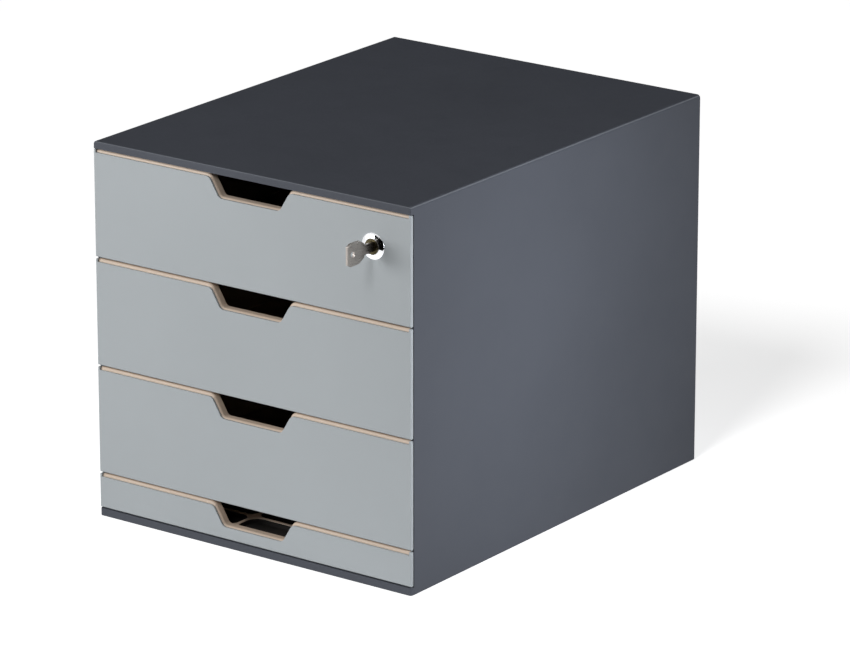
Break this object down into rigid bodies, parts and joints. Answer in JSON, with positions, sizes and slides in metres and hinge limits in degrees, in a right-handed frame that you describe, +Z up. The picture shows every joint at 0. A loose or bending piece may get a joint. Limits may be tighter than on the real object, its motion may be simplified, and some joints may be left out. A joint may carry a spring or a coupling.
{
  "type": "lockable drawer box",
  "caption": "Box-shaped desktop drawer cabinet for coffee supplies, with full-width sliding drawers, finger notches and a keyed cam lock on the top drawer.",
  "frame": {"origin": "on the floor under the middle of the case; the base's underside is 0.6 mm above it, on foot pads", "axes": "+Z up, +Y from the drawer fronts to the back, +X to the right as seen from the front"},
  "size_m": [0.28, 0.386, 0.2827],
  "materials": {
    "case_plastic": "fine satin, anthracite",
    "front_plastic": "satin, light grey",
    "tray_plastic": "satin, sand brown",
    "zinc_steel": "bright zinc",
    "key_steel": "satin nickel, slightly worn",
    "lock_chrome": "polished",
    "plug_brass": "dull, dark in the keyway",
    "pad_rubber": "matt"
  },
  "bodies": {
    "case": {"case_hood": "case_plastic", "base_panel": "case_plastic", "back_panel": "case_plastic", "left_runner_rack": "case_plastic", "right_runner_rack": "case_plastic", "rack_screws": "zinc_steel", "base_screws": "zinc_steel", "back_panel_screws": "zinc_steel", "foot_pads": "pad_rubber", "lock_strike": "zinc_steel", "strike_screws": "zinc_steel"},
    "drawer_1": {"drawer_tray_1": "tray_plastic", "drawer_front_1": "front_plastic", "front_screws_1": "zinc_steel", "lock_body": "lock_chrome", "lock_nut": "zinc_steel"},
    "drawer_2": {"drawer_tray_2": "tray_plastic", "drawer_front_2": "front_plastic", "front_screws_2": "zinc_steel"},
    "drawer_3": {"drawer_tray_3": "tray_plastic", "drawer_front_3": "front_plastic", "front_screws_3": "zinc_steel"},
    "drawer_4": {"drawer_tray_4": "tray_plastic", "drawer_front_4": "front_plastic", "front_screws_4": "zinc_steel", "low_drawer_insert": "tray_plastic"},
    "lock": {"lock_plug": "plug_brass", "lock_cam": "zinc_steel", "cam_screw": "zinc_steel"},
    "key": {"key": "key_steel"}
  },
  "joints": [
    {"name": "drawer_1_slide", "type": "slide", "parent": "case", "child": "drawer_1", "axis": [0, -1, 0], "range_m": [0, 0.27]},
    {"name": "drawer_2_slide", "type": "slide", "parent": "case", "child": "drawer_2", "axis": [0, -1, 0], "range_m": [0, 0.27]},
    {"name": "drawer_3_slide", "type": "slide", "parent": "case", "child": "drawer_3", "axis": [0, -1, 0], "range_m": [0, 0.27]},
    {"name": "drawer_4_slide", "type": "slide", "parent": "case", "child": "drawer_4", "axis": [0, -1, 0], "range_m": [0, 0.27]},
    {"name": "lock_turn", "type": "hinge", "parent": "drawer_1", "child": "lock", "pos_m": [0.1078, -0.178, 0.2496], "axis": [0, 1, 0], "range_deg": [0, 90]},
    {"name": "key_pull", "type": "slide", "parent": "lock", "child": "key", "axis": [0, -1, 0], "range_m": [0, 0.035]}
  ]
}
